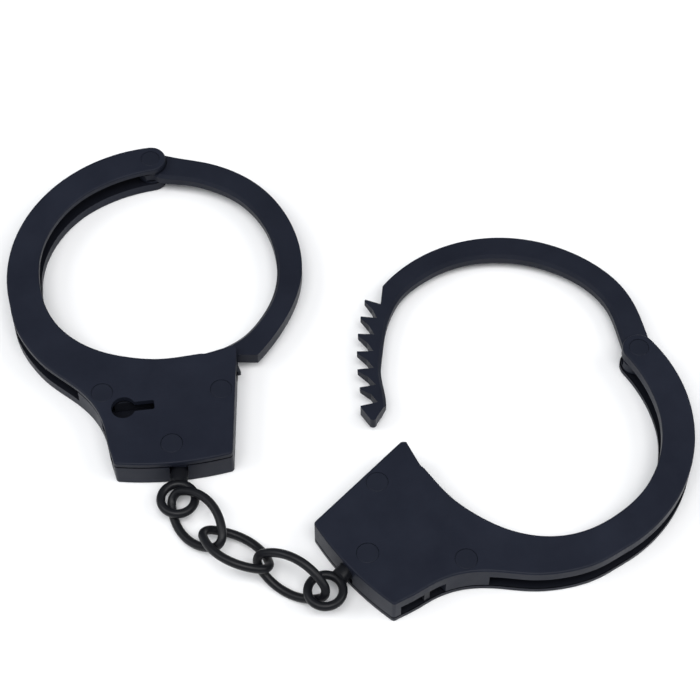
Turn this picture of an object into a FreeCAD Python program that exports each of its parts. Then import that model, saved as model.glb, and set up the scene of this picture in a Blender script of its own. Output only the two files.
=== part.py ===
import FreeCAD, Part
import math
import os

# Handcuffs: two equal cuffs joined by a chain of three links, lying flat.
# Every cuff is drawn once in its own cuff frame:
#   origin on the hinge rivet's axis, at the outside of the back shell
#   +Y from the lock body to the hinge rivet, +Z from the back shell to the key face
# The left cuff lies key side up, the right cuff lies back side up.
# Millimetres. The finished set stands with z = 0 on the surface it lies on.

V = FreeCAD.Vector

# ---------------------------------------------------------------- dimensions
T = 9.0            # thickness of a cuff
Z_BACK = 3.0       # inner face of the back shell's cheek
Z_FRONT = 7.2      # inner face of the front cover
EDGE_R = 0.45      # rounding of the outer edges of both shells
SEAM_R = 0.25      # rounding where the two shells meet, which leaves a fine groove

OUT_C = (5.77, -36.43)    # centre of the frame's outer edge
OUT_R = 41.0
IN_C = (3.8, -35.50)      # centre of the wrist opening
IN_R = 30.8
END_R = 4.12              # round hinge end of the frame

WALL = 1.7                # skirt of the back shell
MOUTH_X = 25.37           # flat side of the lock body where the arm goes in

HINGE_PIN_R = 1.5
HINGE_HEAD_R = 2.5
HINGE_BOSS_H = 0.7        # the cheeks are thicker around the hinge rivet
RUN_GAP = 0.06            # radial running clearance

RIVET_AT = ((-7.9, -75.53), (21.83, -74.36), (10.25, -90.3))
RIVET_R = 1.2
RIVET_HEAD_R = 2.7
RIVET_HEAD_H = 0.82
RIVET_BOSS_R = 2.3
HEAD_SINK = 0.05           # heads stand this far below the faces

KEY_AT = (-2.23, -80.0)   # keyhole: round part, then a slot towards the mouth
KEY_R = 3.08
KEY_SLOT_END = (5.4, -79.0)
KEY_SLOT_H = 2.7

ARM_Z0, ARM_Z1 = 3.3, 6.9
ARM_OUT_C = (24.37, -23.29)
ARM_OUT_R = 37.9
ARM_EYE_R = 4.0
ARM_CHAMFER = 0.8
# the bow of each arm leans in by so many degrees at a distance from the hinge
LEFT_BOW = ((0, 0), (4.4, 36), (5.5, 32), (8.05, 20), (10.7, 15.1), (13.4, 11.4), (16.1, 9.4), (18.9, 7.7), (21.8, 6.1),
            (24.8, 4.9), (28, 4.1), (31.3, 3.4), (35, 2.9), (39, 2.6), (44, 2.1), (47.2, 1.7), (55, 0.6), (62, 0))
RIGHT_BOW = ((0, 0), (4.4, 10), (8, 6), (11.8, 3.3), (15, 1.0), (18, -0.2), (22.3, -0.9), (28.5, -0.6), (33, -0.2), (40, 0))
LEFT_SHOULDER_R, RIGHT_SHOULDER_R = 69.8, 68.24
CLOSED_TURN = -39.4       # from the drawn, open pose to the closed pose, degrees
TOOTH_PITCH = 4.4         # degrees about the hinge
TOOTH_FIRST = -29.1       # first tooth tip in the drawn pose, degrees
TOOTH_COUNT = 6
TOOTH_TAPER = 0.52        # how much a tooth thins per mm towards its tip
TIP_R = 71.5
ROOT_R = 67.3

PAWL_AT = (16.5, -77.0)
PAWL_PIN_R = 1.0
PAWL_HUB_R = 2.4
PAWL_RELEASE = 9.3       # degrees from the engaged to the released pose
PAWL_Z0, PAWL_Z1 = 3.4, 6.8

EYE_X = 12.05             # swivel axis of the eye
EYE_Z = 3.7
EYE_Y = -103.07           # centre of the ring
EYE_R = 4.2               # centre line of the ring
WIRE_R = 1.1              # wire of the ring and the links
NECK_R = 2.2
NECK_GAP = 0.08
FLANGE_R = 3.0

LINK_A, LINK_B, LINK_E = 9.375, 5.330, 2.754   # half length, half width, end radius

LEFT_HINGE = (-54.06, 62.67)     # where the cuff frames lie in the set
RIGHT_HINGE = (73.25, 0.835)
RIGHT_FLIP_AXIS = 68.5135        # the right cuff is turned over about this line, degrees
RIGHT_OPEN = 39.4                # the right arm stands open by this much, degrees
ORIGIN = (-2.0502, -2.4989)              # centre of the set's outline

# chain links: centre, direction of the long axis, pitch and roll in degrees
LINKS = (
    ((-37.13, -46.46, 4.39), -51.02, 6.30, 36.28),
    ((-27.35, -55.07, 4.91), -34.60, 4.09, -29.60),
    ((-13.94, -62.81, 6.03), -29.95, 0.42, 65.02),
)


# ---------------------------------------------------------------- helpers
def polar(r, deg, c=(0.0, 0.0)):
    a = math.radians(deg)
    return (c[0] + r * math.cos(a), c[1] + r * math.sin(a))


def v2(p, z=0.0):
    return V(p[0], p[1], z)


def seg(a, b):
    return Part.LineSegment(v2(a), v2(b)).toShape()


def arc3(a, m, b):
    return Part.Arc(v2(a), v2(m), v2(b)).toShape()


def spline(points, t0=None, t1=None):
    c = Part.BSplineCurve()
    if t0 is not None:
        c.interpolate(Points=[v2(p) for p in points], InitialTangent=v2(t0), FinalTangent=v2(t1))
    else:
        c.interpolate([v2(p) for p in points])
    return c.toShape()


def poly(points):
    return [seg(points[i], points[i + 1]) for i in range(len(points) - 1)]


def plate(edges, z0, z1):
    wire = Part.Wire(Part.__sortEdges__(edges))
    face = Part.Face(wire)
    face.translate(V(0, 0, z0))
    return face.extrude(V(0, 0, z1 - z0))


def cyl(c, r, z0, z1):
    return Part.makeCylinder(r, z1 - z0, V(c[0], c[1], z0))


def slot_hole(a, b, h, z0, z1):
    """Square-ended slot from a to b, h wide, with slightly rounded corners."""
    dx, dy = b[0] - a[0], b[1] - a[1]
    n = math.hypot(dx, dy)
    nx, ny = -dy / n * h / 2, dx / n * h / 2
    pts = [(a[0] + nx, a[1] + ny), (a[0] - nx, a[1] - ny), (b[0] - nx, b[1] - ny), (b[0] + nx, b[1] + ny)]
    body = plate(poly(pts + [pts[0]]), z0, z1)
    return round_corners(body, (pts[2], pts[3]), 0.5)


def one(shape):
    s = shape.removeSplitter()
    if len(s.Solids) != 1:
        print("solids", len(s.Solids), [round(x.Volume, 2) for x in s.Solids])
    return max(s.Solids, key=lambda x: x.Volume)


# ---------------------------------------------------------------- cheek outline
def outline_edges():
    """Outline of a cheek: hinge end, wrist opening, lock body, outer edge."""
    ux, uy = -OUT_C[0], -OUT_C[1]
    n = math.hypot(ux, uy)
    top = (OUT_C[0] + ux / n * OUT_R, OUT_C[1] + uy / n * OUT_R)
    low = (0.95, -4.01)
    inner0 = polar(IN_R, 130, IN_C)
    inner = [inner0, polar(IN_R, 145, IN_C), polar(IN_R, 160, IN_C), polar(IN_R, 175, IN_C),
             (-26.4, -41.1), (-24.35, -48.5), (-20.45, -55.0), (-14.45, -60.2), (-7.35, -63.4),
             (0.6, -64.95), (8.6, -64.9), (16.3, -63.55), (24.2, -61.0)]
    mouth_low = (MOUTH_X, -93.1)
    foot = (-3.6, -96.2)
    tin = (-math.sin(math.radians(130)), math.cos(math.radians(130)))
    edges = [
        arc3(top, (4.05, 0.75), low),
        arc3(low, (-6.6, -6.35), inner0),
        spline(inner, (tin[0] * 20, tin[1] * 20), (20 * 0.93, 20 * 0.36)),
        seg((24.2, -61.0), (MOUTH_X, -62.1)),
        seg((MOUTH_X, -62.1), mouth_low),
        arc3(mouth_low, (10.84, -96.05), foot),
    ]
    o195 = polar(OUT_R, 195, OUT_C)
    side = [foot, (-5.2, -91.2), (-6.9, -84.8), (-10.4, -78.2), (-15.6, -73.0), (-22.2, -67.9),
            (-28.1, -61.2), (-31.9, -54.1), o195]
    t_end = (math.sin(math.radians(195)) * -1, math.cos(math.radians(195)))
    edges.append(spline(side, (-4.5 * 0.25, 4.5), (-t_end[0] * 12, -t_end[1] * 12)))
    edges.append(arc3(o195, polar(OUT_R, 147, OUT_C), top))
    return edges


def fillet_rim(solid, z, r):
    """Round the outline edge that lies at height z."""
    es = [e for e in solid.Edges
          if abs(e.BoundBox.ZMin - z) < 1e-6 and abs(e.BoundBox.ZMax - z) < 1e-6 and e.Length > 2.0]
    return solid.makeFillet(r, es)


def round_corners(solid, spots, r):
    es = []
    for e in solid.Edges:
        b = e.BoundBox
        if b.ZLength > 1.0 and b.XLength < 1e-6 and b.YLength < 1e-6:
            for s in spots:
                if math.hypot(b.XMin - s[0], b.YMin - s[1]) < 0.05:
                    es.append(e)
    return solid.makeFillet(r, es) if es else solid


CORNERS = ((MOUTH_X, -93.1), (-3.6, -96.2))


def blank(z0, z1):
    s = plate(outline_edges(), z0, z1)
    return round_corners(s, CORNERS, 1.0)


# ---------------------------------------------------------------- shells
def lock_region(z0, z1):
    """The lock body: everything of the outline beyond the arm's sweep."""
    return blank(z0, z1).cut(cyl((0, 0), 73.4, z0, z1))


def cavity(z0, z1):
    """Inside of the lock body, WALL in from its outline and open towards the arm's sweep."""
    x_in = MOUTH_X - WALL
    right = (x_in, -93.33 + WALL)
    left = (-3.9 + WALL, -96.15 + WALL)
    side = [left] + [(x + WALL * nx, y + WALL * ny) for x, y, nx, ny in (
        (-5.2, -91.2, 0.975, 0.22), (-6.9, -84.8, 0.93, 0.37), (-10.4, -78.2, 0.795, 0.606), (-15.6, -73.0, 0.658, 0.753))]
    edges = [arc3(right, (10.84, -96.05 + WALL), left), spline(side)]
    edges += poly([side[-1], (side[-1][0], -60.0), (x_in, -60.0), right])
    return plate(edges, z0, z1)


def make_back_shell():
    cheek = blank(0, Z_BACK)
    cheek = fillet_rim(cheek, 0, EDGE_R)
    skirt = lock_region(Z_BACK, Z_FRONT)
    # the skirt starts a little farther from the hinge on the outer side
    near = cyl((0, 0), 75.5, Z_BACK - 1, Z_FRONT + 1).common(Part.makeBox(40, 100, 2 * T, V(-52, -100, -T)))
    skirt = skirt.cut(near)
    seam = [e for e in skirt.Edges if abs(e.BoundBox.ZMin - Z_FRONT) < 1e-6 and e.BoundBox.ZLength < 1e-6
            and min(abs(math.hypot(m.x, m.y) - r) for m in (e.valueAt((e.FirstParameter + e.LastParameter) / 2),) for r in (73.4, 75.5))
            > 0.02 and e.Length > 2.5]
    skirt = skirt.makeChamfer(SEAM_R, seam)
    skirt = skirt.cut(cavity(Z_BACK - 1, Z_FRONT + 1))
    body = cheek.fuse(skirt)
    for c in RIVET_AT:
        boss = cyl(c, RIVET_BOSS_R, Z_BACK - 0.5, Z_FRONT)
        body = body.fuse(boss)
    # hinge boss
    body = body.fuse(cyl((0, 0), END_R - 0.35, Z_BACK - 0.5, Z_BACK + HINGE_BOSS_H))
    # rivet holes with sunk heads
    for c in RIVET_AT:
        body = body.cut(cyl(c, RIVET_R + 0.04, -1, Z_FRONT + 1))
        body = body.cut(cyl(c, RIVET_HEAD_R + 0.04, -1, HEAD_SINK + RIVET_HEAD_H))
    body = body.cut(cyl((0, 0), HINGE_PIN_R + 0.03, -1, T))
    body = body.cut(cyl((0, 0), HINGE_HEAD_R + 0.04, -1, HEAD_SINK + RIVET_HEAD_H))
    # seat of the pawl's pin, blind from inside
    body = body.cut(cyl(PAWL_AT, PAWL_PIN_R + 0.03, 1.4, Z_FRONT + 1))
    # half-round cradle for the eye's neck, open towards the front cover
    axis = V(0, 1, 0)
    neck = Part.makeCylinder(NECK_R + NECK_GAP, 4.0, V(EYE_X, -97.6, EYE_Z), axis)
    up = Part.makeBox(2 * (NECK_R + NECK_GAP), 4.0, Z_FRONT + 1 - EYE_Z, V(EYE_X - NECK_R - NECK_GAP, -97.6, EYE_Z))
    body = body.cut(neck.fuse(up))
    # pocket for the eye's flange
    pocket = Part.makeCylinder(FLANGE_R + 0.12, 1.35, V(EYE_X, -93.88, EYE_Z), axis)
    pup = Part.makeBox(2 * (FLANGE_R + 0.12), 1.35, Z_FRONT + 1 - EYE_Z, V(EYE_X - FLANGE_R - 0.12, -93.88, EYE_Z))
    body = body.cut(pocket.fuse(pup))
    # notch for the release nub in the outer side, closed by the front cover
    win = Part.makeBox(9.0, 11.85, 5.0, V(-11.5, -94.3, Z_BACK + 0.2))
    body = body.cut(win)
    return one(body)


def make_front_cover():
    cover = blank(Z_FRONT, T)
    cover = fillet_rim(cover, T, EDGE_R)
    cover = fillet_rim(cover, Z_FRONT, SEAM_R)
    # tongue that closes the neck's cradle
    tongue = Part.makeBox(2 * (NECK_R - 0.15), 1.5, Z_FRONT + 0.3 - (EYE_Z + NECK_R + 0.12),
                          V(EYE_X - NECK_R + 0.15, -95.4, EYE_Z + NECK_R + 0.12))
    cover = cover.fuse(tongue)
    cover = cover.fuse(cyl((0, 0), END_R - 0.35, Z_FRONT - HINGE_BOSS_H, Z_FRONT + 0.5))
    for c in RIVET_AT:
        cover = cover.cut(cyl(c, RIVET_R + 0.04, Z_FRONT - 1, T + 1))
        cover = cover.cut(cyl(c, RIVET_HEAD_R + 0.04, T - HEAD_SINK - RIVET_HEAD_H, T + 1))
    cover = cover.cut(cyl((0, 0), HINGE_PIN_R + 0.03, 0, T + 1))
    cover = cover.cut(cyl((0, 0), HINGE_HEAD_R + 0.04, T - HEAD_SINK - RIVET_HEAD_H, T + 1))
    cover = cover.cut(cyl(PAWL_AT, PAWL_PIN_R + 0.03, Z_FRONT - 1, Z_FRONT + 0.9))
    # keyhole
    cover = cover.cut(cyl(KEY_AT, KEY_R, Z_FRONT - 1, T + 1))
    cover = cover.cut(slot_hole(KEY_AT, KEY_SLOT_END, KEY_SLOT_H, Z_FRONT - 1, T + 1))
    return one(cover)


def headed_pin(c, r, head_r):
    pin = cyl(c, r, HEAD_SINK + RIVET_HEAD_H - 0.2, T - HEAD_SINK - RIVET_HEAD_H + 0.2)
    low = cyl(c, head_r, HEAD_SINK, HEAD_SINK + RIVET_HEAD_H)
    high = cyl(c, head_r, T - HEAD_SINK - RIVET_HEAD_H, T - HEAD_SINK)
    s = pin.fuse([low, high]).removeSplitter()
    rim = [e for e in s.Edges if abs(e.Length - 2 * math.pi * head_r) < 1e-3
           and (abs(e.BoundBox.ZMin - HEAD_SINK) < 1e-6 or abs(e.BoundBox.ZMax - T + HEAD_SINK) < 1e-6)]
    s = s.makeFillet(0.18, rim)
    return s.Solids[0]


# ---------------------------------------------------------------- arm
def bowed(p, bow):
    """Turn a point of the drawn arm about the hinge, by an angle that depends on its distance."""
    r = math.hypot(p[0], p[1])
    for (r0, a0), (r1, a1) in zip(bow[:-1], bow[1:]):
        if r <= r1:
            a = a0 + (a1 - a0) * (r - r0) / (r1 - r0)
            return polar(r, math.degrees(math.atan2(p[1], p[0])) - a)
    return p


def arm_outline(bow, shoulder_r):
    shoulder = polar(shoulder_r, -24.59)
    # teeth: slope towards the nose, steep face towards the hinge side
    pts = [shoulder, polar(67.2, TOOTH_FIRST - 0.25)]
    for i in range(TOOTH_COUNT):
        a = TOOTH_FIRST - TOOTH_PITCH * i
        pts.append(polar(TIP_R, a + 0.12))
        pts.append(polar(TIP_R - 0.05, a - 0.42))
        pts.append(polar(69.0, a - 1.9))
        pts.append(polar(ROOT_R + (0.5 if i == TOOTH_COUNT - 1 else 0), a - TOOTH_PITCH + 0.3))
    barb = TOOTH_FIRST - TOOTH_PITCH * TOOTH_COUNT
    pts.append(polar(72.3, barb + 0.15))
    pts.append(polar(72.35, barb - 0.2))
    nose_a = polar(71.0, -58.6)
    nose_m = polar(70.0, -59.3)
    nose_b = polar(69.1, -58.7)
    pts.append(nose_a)
    ibarb = polar(65.85, -55.95)
    edges = poly(pts)
    edges.append(arc3(nose_a, nose_m, nose_b))
    edges.append(seg(nose_b, ibarb))
    # outer edge, from the eye to the shoulder
    start = bowed(polar(ARM_OUT_R, 134, ARM_OUT_C), bow)
    outer = [start] + [bowed(polar(ARM_OUT_R, a, ARM_OUT_C), bow) for a in (124, 113, 101, 88, 72, 54, 34, 13)]
    edges.append(spline(outer + [shoulder]))
    # wrist side, from the nose to the eye
    inner = [(43.9, -48.75), (48.55, -43.1), (51.9, -38.5), (54.75, -33.2), (56.6, -26.8),
             (56.35, -19.6), (54.5, -12.4), (50.9, -5.7), (45.6, 0.1), (39.0, 4.6), (31.5, 7.3),
             (24.0, 8.15), (16.5, 7.2), (9.6, 4.4), (4.2, 0.4)]
    last = (1.45, -3.73)
    inner = [ibarb] + [bowed(p, bow) for p in inner] + [last]
    edges.append(spline(inner, (4.0, 4.4), (-3.5, -5.5)))
    # round eye
    turn = math.degrees(math.atan2(start[1], start[0]))
    edges.append(arc3(last, polar(ARM_EYE_R, 215), polar(ARM_EYE_R, turn + 12)))
    edges.append(seg(polar(ARM_EYE_R, turn + 12), start))
    return edges


def make_arm_drawn(bow, shoulder_r):
    arm = plate(arm_outline(bow, shoulder_r), ARM_Z0, ARM_Z1)
    # chamfer along the wrist side
    es = []
    for e in arm.Edges:
        b = e.BoundBox
        if b.ZLength < 1e-6 and e.Length > 90 and e.Length < 130 and b.YMin < -50:
            es.append(e)
    arm = arm.makeChamfer(ARM_CHAMFER, es)
    # the teeth thin towards their tips, from the front side only
    last_root = TOOTH_FIRST - TOOTH_PITCH * TOOTH_COUNT + 0.9
    r0, r1 = ROOT_R + 0.4, TIP_R + 0.8
    wedge = Part.Face(Part.makePolygon([V(r0, 0, ARM_Z1), V(r1, 0, ARM_Z1 - TOOTH_TAPER * (r1 - r0)),
                                        V(r1, 0, ARM_Z1 + 0.5), V(r0, 0, ARM_Z1 + 0.5), V(r0, 0, ARM_Z1)]))
    wedge.rotate(V(0, 0, 0), V(0, 0, 1), last_root)
    arm = arm.cut(wedge.revolve(V(0, 0, 0), V(0, 0, 1), TOOTH_FIRST + 1.2 - last_root))
    # thinner eye between the hinge bosses
    gap = 0.15
    arm = arm.cut(cyl((0, 0), END_R + 0.25, ARM_Z0 - 1, Z_BACK + HINGE_BOSS_H + gap))
    arm = arm.cut(cyl((0, 0), END_R + 0.25, Z_FRONT - HINGE_BOSS_H - gap, ARM_Z1 + 1))
    arm = arm.cut(cyl((0, 0), HINGE_PIN_R + RUN_GAP, 0, T))
    return one(arm)


# ---------------------------------------------------------------- lock inside
def pawl_tooth(tip_deg):
    """One pawl tooth in the engaged pose, steep face towards the nose side."""
    return [polar(72.5, tip_deg + 0.05), polar(70.1, tip_deg), polar(70.1, tip_deg + 0.45), polar(72.5, tip_deg + 2.35)]


def make_pawl():
    """Two-pronged lever: toothed prong under the arm, release prong past the key."""
    closed0 = TOOTH_FIRST + CLOSED_TURN
    t1 = closed0 - TOOTH_PITCH * 5 + 1.3
    t2 = closed0 - TOOTH_PITCH * 6 + 1.3
    prong = [polar(72.3, t2 - 0.1), polar(72.3, -85.6), (13.6, -75.7), (15.0, -79.0), (9.5, -76.8),
             polar(74.3, -86.6), polar(74.3, t2 - 0.1)]
    up = plate(poly(prong + [prong[0]]), PAWL_Z0, PAWL_Z1)
    for t in (t1, t2):
        p = pawl_tooth(t)
        up = up.fuse(plate(poly(p + [p[0]]), PAWL_Z0, PAWL_Z1))
    low = [(14.6, -76.2), (12.2, -79.6), (6.0, -83.9), (-2.2, -83.5), (-4.4, -82.6), (-4.7, -84.6),
           (-2.6, -85.7), (6.8, -86.3), (14.0, -81.6), (18.4, -78.6)]
    dn = plate(poly(low + [low[0]]), PAWL_Z0, PAWL_Z1)
    hub = cyl(PAWL_AT, PAWL_HUB_R, PAWL_Z0, PAWL_Z1)
    nub = plate(poly([(-4.0, -82.7), (-7.4, -82.6), (-7.3, -84.2), (-4.4, -84.3), (-4.0, -82.7)]), 3.8, 6.6)
    pawl = hub.fuse([up, dn, nub])
    pawl = pawl.cut(cyl(PAWL_AT, PAWL_PIN_R + RUN_GAP, 0, T))
    pawl.rotate(V(PAWL_AT[0], PAWL_AT[1], 0), V(0, 0, 1), PAWL_RELEASE)
    return one(pawl)


def make_pawl_pin():
    s = cyl(PAWL_AT, PAWL_PIN_R, 1.5, Z_FRONT + 0.8)
    return s.makeChamfer(0.15, [e for e in s.Edges if abs(e.BoundBox.ZLength) < 1e-6 and e.Length > 3])


def make_spring():
    """Leaf spring: foot on the bottom wall, bent leg under the release prong."""
    t = 0.35
    mid = [(-1.6, -93.5), (5.4, -93.8), (6.7, -93.0), (0.6, -89.7)]
    bars = []
    for a, b in zip(mid[:-1], mid[1:]):
        dx, dy = b[0] - a[0], b[1] - a[1]
        n = math.hypot(dx, dy)
        nx, ny = -dy / n * t / 2, dx / n * t / 2
        ring = [(a[0] + nx, a[1] + ny), (a[0] - nx, a[1] - ny), (b[0] - nx, b[1] - ny), (b[0] + nx, b[1] + ny)]
        bars.append(plate(poly(ring + [ring[0]]), 3.6, 6.6))
    for c in mid:
        bars.append(cyl(c, t / 2, 3.6, 6.6))
    return one(bars[0].fuse(bars[1:]))


def make_eye():
    ring = Part.makeTorus(EYE_R, WIRE_R, V(EYE_X, EYE_Y, EYE_Z), V(0, 0, 1))
    axis = V(0, 1, 0)
    y0, y1 = EYE_Y + 4.35, -93.8
    neck = Part.makeCylinder(NECK_R, y1 - y0, V(EYE_X, y0, EYE_Z), axis)
    neck = neck.makeChamfer(0.5, [e for e in neck.Edges if abs(e.BoundBox.YMax - y0) < 1e-6 and abs(e.BoundBox.YMin - y0) < 1e-6])
    flange = Part.makeCylinder(FLANGE_R, 1.0, V(EYE_X, y1 + 0.08, EYE_Z), axis)
    stub = Part.makeCylinder(NECK_R, 0.6, V(EYE_X, y1 - 0.2, EYE_Z), axis)
    return one(ring.fuse([neck, flange, stub]))


# ---------------------------------------------------------------- chain
def oval_wire(a, b, re):
    d = a - re
    rs = (d * d + b * b - re * re) / (2 * (b - re))
    th = math.atan2(rs - b, d)

    def end(t, s):
        return (s * (d + re * math.cos(t)), s * re * math.sin(t))

    def side(t, s):
        return (s * rs * math.cos(t), s * (-(rs - b) + rs * math.sin(t)))
    e = []
    for s in (1, -1):
        e.append(arc3(end(-th, s), end(0, s), end(th, s)))
        e.append(arc3(side(th, s), side(math.pi / 2, s), side(math.pi - th, s)))
    return Part.Wire(Part.__sortEdges__(e)), (d, re, rs, th)


def make_link():
    """Closed oval link: four torus arcs, tangent to each other."""
    a, b, re = LINK_A, LINK_B, LINK_E
    wire, (d, r_end, rs, th) = oval_wire(a, b, re)
    parts = []
    for s in (1, -1):
        t = Part.makeTorus(r_end, WIRE_R, V(s * d, 0, 0), V(0, 0, 1), -180, 180, math.degrees(2 * th))
        t.rotate(V(s * d, 0, 0), V(0, 0, 1), -math.degrees(th) + (0 if s > 0 else 180))
        parts.append(t)
        u = Part.makeTorus(rs, WIRE_R, V(0, -s * (rs - b), 0), V(0, 0, 1), -180, 180, math.degrees(math.pi - 2 * th))
        u.rotate(V(0, -s * (rs - b), 0), V(0, 0, 1), math.degrees(th) + (0 if s > 0 else 180))
        parts.append(u)
    s = parts[0].fuse(parts[1:])
    return one(s)


def place_link(shape, c, az, pitch, roll):
    az, pitch, roll = [math.radians(q) for q in (az, pitch, roll)]
    u = V(math.cos(pitch) * math.cos(az), math.cos(pitch) * math.sin(az), math.sin(pitch))
    h = V(-math.sin(az), math.cos(az), 0)
    w = u.cross(h)
    v = h * math.cos(roll) + w * math.sin(roll)
    n = u.cross(v)
    m = FreeCAD.Matrix(u.x, v.x, n.x, c[0], u.y, v.y, n.y, c[1], u.z, v.z, n.z, c[2], 0, 0, 0, 1)
    s = shape.copy()
    s.Placement = FreeCAD.Placement(m)
    return s


# ---------------------------------------------------------------- assembly
def to_left(s):
    s = s.copy()
    s.translate(V(LEFT_HINGE[0], LEFT_HINGE[1], 0))
    return s


def to_right(s):
    s = s.copy()
    a = math.radians(RIGHT_FLIP_AXIS)
    s.rotate(V(0, 0, 0), V(math.cos(a), math.sin(a), 0), 180)
    s.translate(V(RIGHT_HINGE[0], RIGHT_HINGE[1], T))
    return s


def build():
    nodes = {}
    back = make_back_shell()
    front = make_front_cover()
    arm_closed = make_arm_drawn(LEFT_BOW, LEFT_SHOULDER_R)
    arm_closed.rotate(V(0, 0, 0), V(0, 0, 1), CLOSED_TURN)
    arm_open = make_arm_drawn(RIGHT_BOW, RIGHT_SHOULDER_R)
    arm_open.rotate(V(0, 0, 0), V(0, 0, 1), CLOSED_TURN + RIGHT_OPEN)
    hinge = headed_pin((0, 0), HINGE_PIN_R, HINGE_HEAD_R)
    rivets = Part.Compound([headed_pin(c, RIVET_R, RIVET_HEAD_R) for c in RIVET_AT])
    pawl = make_pawl()
    pin = make_pawl_pin()
    spring = make_spring()
    eye = make_eye()
    for side, put, arm_s in (("left", to_left, arm_closed), ("right", to_right, arm_open)):
        nodes["back_shell_" + side] = put(back)
        nodes["front_cover_" + side] = put(front)
        nodes["swing_arm_" + side] = put(arm_s)
        nodes["hinge_rivet_" + side] = put(hinge)
        nodes["shell_rivets_" + side] = put(rivets)
        nodes["pawl_" + side] = put(pawl)
        nodes["pawl_pin_" + side] = put(pin)
        nodes["pawl_spring_" + side] = put(spring)
        nodes["swivel_eye_" + side] = put(eye)
    link = make_link()
    for i, (c, az, pitch, roll) in enumerate(LINKS):
        nodes["chain_link_%d" % (i + 1)] = place_link(link, c, az, pitch, roll)
    for name in nodes:
        s = nodes[name]
        s.translate(V(-ORIGIN[0], -ORIGIN[1], 0))
    return nodes


os.makedirs("parts", exist_ok=True)
NODES = build()
lo = [1e9] * 3
hi = [-1e9] * 3
for name, shape in NODES.items():
    b = shape.BoundBox
    for i, (p, q) in enumerate(((b.XMin, b.XMax), (b.YMin, b.YMax), (b.ZMin, b.ZMax))):
        lo[i] = min(lo[i], p)
        hi[i] = max(hi[i], q)
    print(name, "valid", shape.isValid(), "solids", len(shape.Solids), "volume %.1f" % shape.Volume)
    shape.exportStep("parts/%s.step" % name)
print("box", [round(x, 3) for x in lo], [round(x, 3) for x in hi])
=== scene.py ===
import bpy
import math
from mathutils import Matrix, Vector

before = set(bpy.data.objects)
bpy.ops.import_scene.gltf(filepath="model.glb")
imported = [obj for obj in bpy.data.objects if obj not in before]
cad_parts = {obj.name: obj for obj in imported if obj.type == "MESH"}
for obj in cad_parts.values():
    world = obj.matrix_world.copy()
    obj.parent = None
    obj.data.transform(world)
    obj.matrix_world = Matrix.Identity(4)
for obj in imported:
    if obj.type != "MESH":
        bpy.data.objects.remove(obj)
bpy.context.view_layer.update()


# ------------------------------------------------------------------ materials
def node(tree, kind, x, y, **inputs):
    n = tree.nodes.new(kind)
    n.location = (x, y)
    for key, value in inputs.items():
        n.inputs[key.replace("_", " ")].default_value = value
    return n


def ramp(tree, x, y, stops):
    n = tree.nodes.new("ShaderNodeValToRGB")
    n.location = (x, y)
    cr = n.color_ramp
    while len(cr.elements) < len(stops):
        cr.elements.new(0.5)
    for e, (pos, col) in zip(cr.elements, stops):
        e.position = pos
        e.color = (col[0], col[1], col[2], 1.0) if isinstance(col, tuple) else (col, col, col, 1.0)
    return n


def painted_cavity_shade(tree, colour):
    """Painted shade: the floors inside the shell halves are painted near black in place of the shade in the
    cavity;
    faces inside the height of the slot that look along the hinge axis."""
    co = tree.nodes.new("ShaderNodeTexCoord")
    co.location = (-1300, 700)
    pos = tree.nodes.new("ShaderNodeSeparateXYZ")
    pos.location = (-1100, 800)
    nor = tree.nodes.new("ShaderNodeSeparateXYZ")
    nor.location = (-1100, 650)
    tree.links.new(co.outputs["Object"], pos.inputs[0])
    tree.links.new(co.outputs["Normal"], nor.inputs[0])
    up = tree.nodes.new("ShaderNodeMath")
    up.operation = "ABSOLUTE"
    up.location = (-900, 650)
    tree.links.new(nor.outputs["Z"], up.inputs[0])
    flat = tree.nodes.new("ShaderNodeMath")
    flat.operation = "GREATER_THAN"
    flat.inputs[1].default_value = 0.97
    flat.location = (-700, 650)
    tree.links.new(up.outputs[0], flat.inputs[0])
    low = tree.nodes.new("ShaderNodeMath")
    low.operation = "GREATER_THAN"
    low.inputs[1].default_value = 0.0010
    low.location = (-700, 800)
    tree.links.new(pos.outputs["Z"], low.inputs[0])
    high = tree.nodes.new("ShaderNodeMath")
    high.operation = "LESS_THAN"
    high.inputs[1].default_value = 0.0080
    high.location = (-700, 950)
    tree.links.new(pos.outputs["Z"], high.inputs[0])
    band = tree.nodes.new("ShaderNodeMath")
    band.operation = "MULTIPLY"
    band.location = (-500, 850)
    tree.links.new(low.outputs[0], band.inputs[0])
    tree.links.new(high.outputs[0], band.inputs[1])
    mask = tree.nodes.new("ShaderNodeMath")
    mask.operation = "MULTIPLY"
    mask.location = (-300, 750)
    tree.links.new(band.outputs[0], mask.inputs[0])
    tree.links.new(flat.outputs[0], mask.inputs[1])
    mixc = tree.nodes.new("ShaderNodeMix")
    mixc.data_type = "RGBA"
    mixc.location = (-100, 500)
    # painted shade colour: near black laid on the cavity floors in place of shade
    mixc.inputs[7].default_value = (0.0062, 0.0070, 0.0108, 1.0)
    tree.links.new(mask.outputs[0], mixc.inputs[0])
    tree.links.new(colour, mixc.inputs[6])
    return mixc.outputs[2]


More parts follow.
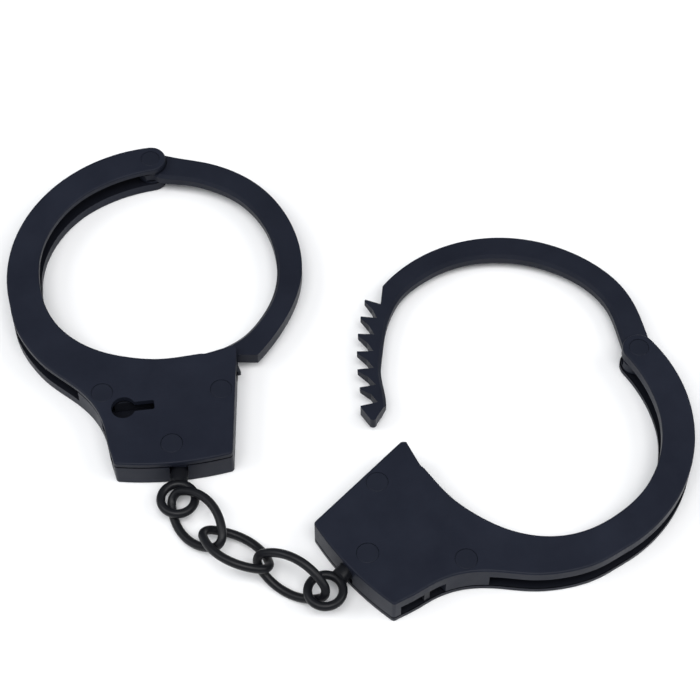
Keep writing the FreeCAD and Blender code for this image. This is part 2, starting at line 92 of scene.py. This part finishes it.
def painted_seam_shade(tree, colour, height):
    """Painted shade in the parting groove between the two shells, a thin dark line at one height."""
    co = tree.nodes.new("ShaderNodeTexCoord")
    co.location = (-700, 1250)
    pos = tree.nodes.new("ShaderNodeSeparateXYZ")
    pos.location = (-500, 1250)
    tree.links.new(co.outputs["Object"], pos.inputs[0])
    off = tree.nodes.new("ShaderNodeMath")
    off.operation = "SUBTRACT"
    off.inputs[1].default_value = height
    off.location = (-300, 1250)
    tree.links.new(pos.outputs["Z"], off.inputs[0])
    far = tree.nodes.new("ShaderNodeMath")
    far.operation = "ABSOLUTE"
    far.location = (-100, 1250)
    tree.links.new(off.outputs[0], far.inputs[0])
    fade = node(tree, "ShaderNodeMapRange", 100, 1250)
    fade.interpolation_type = "SMOOTHSTEP"
    fade.inputs["From Min"].default_value = 0.00012
    fade.inputs["From Max"].default_value = 0.00036
    fade.inputs["To Min"].default_value = 0.12
    fade.inputs["To Max"].default_value = 1.0
    tree.links.new(far.outputs[0], fade.inputs["Value"])
    # only on the walls, not on the flat floor of the slot at the same height
    nor = tree.nodes.new("ShaderNodeSeparateXYZ")
    nor.location = (-500, 1450)
    tree.links.new(co.outputs["Normal"], nor.inputs[0])
    up = tree.nodes.new("ShaderNodeMath")
    up.operation = "ABSOLUTE"
    up.location = (-300, 1450)
    tree.links.new(nor.outputs["Z"], up.inputs[0])
    flat = tree.nodes.new("ShaderNodeMath")
    flat.operation = "GREATER_THAN"
    flat.inputs[1].default_value = 0.97
    flat.location = (-100, 1450)
    tree.links.new(up.outputs[0], flat.inputs[0])
    keep = tree.nodes.new("ShaderNodeMath")
    keep.operation = "MAXIMUM"
    keep.location = (300, 1250)
    tree.links.new(fade.outputs[0], keep.inputs[0])
    tree.links.new(flat.outputs[0], keep.inputs[1])
    dim = tree.nodes.new("ShaderNodeVectorMath")
    dim.operation = "SCALE"
    dim.location = (500, 900)
    tree.links.new(colour, dim.inputs[0])
    tree.links.new(keep.outputs[0], dim.inputs["Scale"])
    return dim.outputs[0], keep.outputs[0]


def moulded(name, dark, light, rough_lo, rough_hi, grain=0.00002, grain_scale=2600.0, seam=None,
            spec=0.10, coat=0.0, streak=0.5, metallic=0.0, seed=0.0):
    """A moulded or painted black surface: fine grain, cloudy gloss and faint rub marks."""
    m = bpy.data.materials.new(name)
    m.use_nodes = True
    t = m.node_tree
    t.nodes.clear()
    out = t.nodes.new("ShaderNodeOutputMaterial")
    out.location = (900, 0)
    b = t.nodes.new("ShaderNodeBsdfPrincipled")
    b.location = (600, 0)
    b.inputs["Specular IOR Level"].default_value = spec
    b.inputs["Metallic"].default_value = metallic
    b.inputs["Coat Weight"].default_value = coat
    b.inputs["Coat Roughness"].default_value = 0.2
    t.links.new(b.outputs[0], out.inputs[0])
    co = t.nodes.new("ShaderNodeTexCoord")
    co.location = (-1300, 0)
    shift = node(t, "ShaderNodeMapping", -1100, 0)
    shift.inputs["Location"].default_value = (seed, seed * 0.7, seed * 0.3)
    t.links.new(co.outputs["Object"], shift.inputs["Vector"])
    # cloudy colour
    cloud = node(t, "ShaderNodeTexNoise", -800, 250, Scale=70.0, Detail=5.0, Roughness=0.62)
    t.links.new(shift.outputs[0], cloud.inputs["Vector"])
    tone = ramp(t, -550, 250, [(0.3, dark), (0.72, light)])
    t.links.new(cloud.outputs["Fac"], tone.inputs["Fac"])
    if seam is None:
        t.links.new(tone.outputs["Color"], b.inputs["Base Color"])
    else:
        # painted shade: cavity floors painted near black and a thin painted dark line along the parting groove
        colour, seam_shade_factor = painted_seam_shade(t, painted_cavity_shade(t, tone.outputs["Color"]), seam)
        t.links.new(colour, b.inputs["Base Color"])
        # the painted seam shade also dims the specular along the groove
        shine = t.nodes.new("ShaderNodeMath")
        shine.operation = "MULTIPLY"
        shine.location = (400, 300)
        shine.inputs[1].default_value = spec
        t.links.new(seam_shade_factor, shine.inputs[0])
        t.links.new(shine.outputs[0], b.inputs["Specular IOR Level"])
    # rub marks: long thin streaks in two directions
    marks = []
    for k, (rot, scale) in enumerate(((0.5, (30.0, 1300.0, 60.0)), (-0.9, (1100.0, 26.0, 60.0)))):
        mp = node(t, "ShaderNodeMapping", -1050, -150 - 220 * k)
        mp.inputs["Rotation"].default_value = (0.0, 0.0, rot)
        mp.inputs["Scale"].default_value = scale
        t.links.new(shift.outputs[0], mp.inputs["Vector"])
        nz = node(t, "ShaderNodeTexNoise", -800, -150 - 220 * k, Scale=1.0, Detail=2.0, Roughness=0.5)
        t.links.new(mp.outputs[0], nz.inputs["Vector"])
        rp = ramp(t, -550, -150 - 220 * k, [(0.0, 0.0), (0.66, 0.0), (0.74, 1.0)])
        t.links.new(nz.outputs["Fac"], rp.inputs["Fac"])
        marks.append(rp)
    both = node(t, "ShaderNodeMath", -300, -250)
    both.operation = "MAXIMUM"
    t.links.new(marks[0].outputs["Color"], both.inputs[0])
    t.links.new(marks[1].outputs["Color"], both.inputs[1])
    # gloss: cloudy, a little duller in the rub marks
    cloud2 = node(t, "ShaderNodeTexNoise", -800, 0, Scale=190.0, Detail=4.0, Roughness=0.6)
    t.links.new(shift.outputs[0], cloud2.inputs["Vector"])
    gloss = node(t, "ShaderNodeMapRange", -300, 0)
    gloss.inputs["From Min"].default_value = 0.3
    gloss.inputs["From Max"].default_value = 0.7
    gloss.inputs["To Min"].default_value = rough_lo
    gloss.inputs["To Max"].default_value = rough_hi
    t.links.new(cloud2.outputs["Fac"], gloss.inputs["Value"])
    dull = node(t, "ShaderNodeMath", -60, -60)
    dull.operation = "MULTIPLY_ADD"
    dull.inputs[1].default_value = 0.10 * streak
    t.links.new(both.outputs[0], dull.inputs[0])
    t.links.new(gloss.outputs[0], dull.inputs[2])
    t.links.new(dull.outputs[0], b.inputs["Roughness"])
    # grain of the mould
    fine = node(t, "ShaderNodeTexNoise", -550, -620, Scale=grain_scale, Detail=3.0, Roughness=0.6)
    t.links.new(shift.outputs[0], fine.inputs["Vector"])
    wavy = node(t, "ShaderNodeTexNoise", -550, -820, Scale=120.0, Detail=2.0, Roughness=0.5)
    t.links.new(shift.outputs[0], wavy.inputs["Vector"])
    mix = node(t, "ShaderNodeMath", -300, -700)
    mix.operation = "MULTIPLY_ADD"
    mix.inputs[1].default_value = 2.2
    t.links.new(wavy.outputs["Fac"], mix.inputs[0])
    t.links.new(fine.outputs["Fac"], mix.inputs[2])
    scr = node(t, "ShaderNodeMath", -100, -620)
    scr.operation = "MULTIPLY_ADD"
    scr.inputs[1].default_value = -0.5 * streak
    t.links.new(both.outputs[0], scr.inputs[0])
    t.links.new(mix.outputs[0], scr.inputs[2])
    bump = t.nodes.new("ShaderNodeBump")
    bump.location = (250, -500)
    bump.inputs["Strength"].default_value = 0.8
    bump.inputs["Distance"].default_value = grain
    t.links.new(scr.outputs[0], bump.inputs["Height"])
    t.links.new(bump.outputs[0], b.inputs["Normal"])
    return m


def steel(name):
    """Drawn steel with fine lines along it."""
    m = bpy.data.materials.new(name)
    m.use_nodes = True
    t = m.node_tree
    b = t.nodes["Principled BSDF"]
    b.inputs["Metallic"].default_value = 1.0
    co = t.nodes.new("ShaderNodeTexCoord")
    mp = node(t, "ShaderNodeMapping", -800, 0)
    mp.inputs["Scale"].default_value = (2500.0, 2500.0, 60.0)
    t.links.new(co.outputs["Object"], mp.inputs["Vector"])
    nz = node(t, "ShaderNodeTexNoise", -600, 0, Scale=1.0, Detail=3.0)
    t.links.new(mp.outputs[0], nz.inputs["Vector"])
    col = ramp(t, -350, 150, [(0.3, (0.32, 0.32, 0.34)), (0.7, (0.52, 0.52, 0.54))])
    t.links.new(nz.outputs["Fac"], col.inputs["Fac"])
    t.links.new(col.outputs["Color"], b.inputs["Base Color"])
    rg = node(t, "ShaderNodeMapRange", -350, -150)
    rg.inputs["To Min"].default_value = 0.28
    rg.inputs["To Max"].default_value = 0.5
    t.links.new(nz.outputs["Fac"], rg.inputs["Value"])
    t.links.new(rg.outputs[0], b.inputs["Roughness"])
    return m


SHELL_UP = moulded("black_shell_key_side_up", (0.0098, 0.0118, 0.0200), (0.0140, 0.0166, 0.0268), 0.36, 0.46,
                   seam=0.0072, seed=0.0)
SHELL_DOWN = moulded("black_shell_key_side_down", (0.0098, 0.0118, 0.0200), (0.0140, 0.0166, 0.0268), 0.36, 0.46,
                     seam=0.0018, seed=1.7)
ARM = moulded("black_arm_plastic", (0.0090, 0.0108, 0.0182), (0.0128, 0.0152, 0.0244), 0.36, 0.46, seed=3.1)
RIVET = moulded("black_rivet_paint", (0.0098, 0.0118, 0.0195), (0.0132, 0.0156, 0.0248), 0.34, 0.44,
                grain=0.000015, seed=5.3)
PAWL = moulded("black_pawl_plastic", (0.0100, 0.0112, 0.0160), (0.0140, 0.0155, 0.0215), 0.40, 0.50, seed=7.7)
CHAIN = moulded("black_chain", (0.0040, 0.0044, 0.0062), (0.0066, 0.0072, 0.0095), 0.32, 0.44, grain=0.000015,
                spec=0.20, coat=0.0, seed=9.4)
STEEL = steel("plain_steel")

PAINT = {"back_shell_left": SHELL_UP, "front_cover_left": SHELL_UP, "back_shell_right": SHELL_DOWN,
         "front_cover_right": SHELL_DOWN, "swing_arm": ARM, "hinge_rivet": RIVET, "shell_rivets": RIVET,
         "pawl_pin": STEEL, "pawl_spring": STEEL, "pawl": PAWL, "swivel_eye": CHAIN, "chain_link": CHAIN}
SOFT = {"back_shell_left": 0.00012, "front_cover_left": 0.00012, "back_shell_right": 0.00012,
        "front_cover_right": 0.00012, "swing_arm": 0.00022, "hinge_rivet": 0.00006,
        "shell_rivets": 0.00006, "pawl": 0.00012, "swivel_eye": 0.00015}


def kind_of(name):
    for key in sorted(PAINT, key=len, reverse=True):
        if name.startswith(key):
            return key
    return None


for name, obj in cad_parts.items():
    key = kind_of(name)
    mat = PAINT[key]
    if len(obj.material_slots) == 0:
        obj.data.materials.append(mat)
    for s in obj.material_slots:
        s.material = mat
    if key in SOFT:
        bev = obj.modifiers.new("softened_edges", "BEVEL")
        bev.width = SOFT[key]
        bev.segments = 2
        bev.limit_method = "ANGLE"
        bev.angle_limit = math.radians(40)
        bev.use_clamp_overlap = True
        bev.harden_normals = True

# ------------------------------------------------------------------ floor
floor_mat = bpy.data.materials.new("pale_floor")
floor_mat.use_nodes = True
ft = floor_mat.node_tree
fb = ft.nodes["Principled BSDF"]
fb.inputs["Roughness"].default_value = 0.75
fb.inputs["Specular IOR Level"].default_value = 0.25
fc = ft.nodes.new("ShaderNodeTexCoord")
fn = node(ft, "ShaderNodeTexNoise", -500, 0, Scale=40.0, Detail=4.0)
ft.links.new(fc.outputs["Object"], fn.inputs["Vector"])
fr = ramp(ft, -250, 0, [(0.3, (0.90, 0.90, 0.905)), (0.7, (0.915, 0.915, 0.92))])
ft.links.new(fn.outputs["Fac"], fr.inputs["Fac"])
ft.links.new(fr.outputs["Color"], fb.inputs["Base Color"])
me = bpy.data.meshes.new("floor")
S = 4.0
me.from_pydata([(-S, -S, 0), (S, -S, 0), (S, S, 0), (-S, S, 0)], [], [(0, 1, 2, 3)])
floor = bpy.data.objects.new("floor", me)
floor.location = (0, 0, -0.00002)
me.materials.append(floor_mat)
bpy.context.scene.collection.objects.link(floor)

# ------------------------------------------------------------------ world and lights
world = bpy.data.worlds.new("studio")
bpy.context.scene.world = world
world.use_nodes = True
wb = world.node_tree.nodes["Background"]
wb.inputs["Color"].default_value = (0.93, 0.96, 1.0, 1.0)
wb.inputs["Strength"].default_value = 0.32


def area(name, loc, target, size, size_y, power, color=(1, 1, 1)):
    d = bpy.data.lights.new(name, "AREA")
    d.shape = "RECTANGLE"
    d.size = size
    d.size_y = size_y
    d.energy = power
    d.color = color
    o = bpy.data.objects.new(name, d)
    o.location = loc
    o.rotation_euler = (Vector(target) - Vector(loc)).to_track_quat("-Z", "Y").to_euler()
    bpy.context.scene.collection.objects.link(o)
    return o


area("key_front", (0.0, -0.60, 1.55), (0, 0, 0), 1.5, 0.9, 22.0)
area("left_soft", (-1.2, -0.2, 1.15), (0, 0, 0), 0.9, 0.7, 7.5, (0.96, 0.98, 1.0))
area("right_soft", (1.2, -0.2, 1.15), (0, 0, 0), 0.9, 0.7, 7.0)

bpy.context.scene.view_settings.view_transform = "Standard"

# ------------------------------------------------------------------ camera
cam_data = bpy.data.cameras.new("camera")
cam = bpy.data.objects.new("camera", cam_data)
bpy.context.scene.collection.objects.link(cam)
cam_data.sensor_width = 36.0
cam_data.lens = 105.43
cam_data.clip_start = 0.01
cam_data.clip_end = 20.0
aim = Vector((0.0020502, 0.0024989, 0.009))
el = math.radians(55.7)
cam.location = aim + 0.51906 * Vector((0, -math.cos(el), math.sin(el)))
cam.rotation_euler = (aim - cam.location).to_track_quat("-Z", "Y").to_euler()
bpy.context.scene.camera = cam
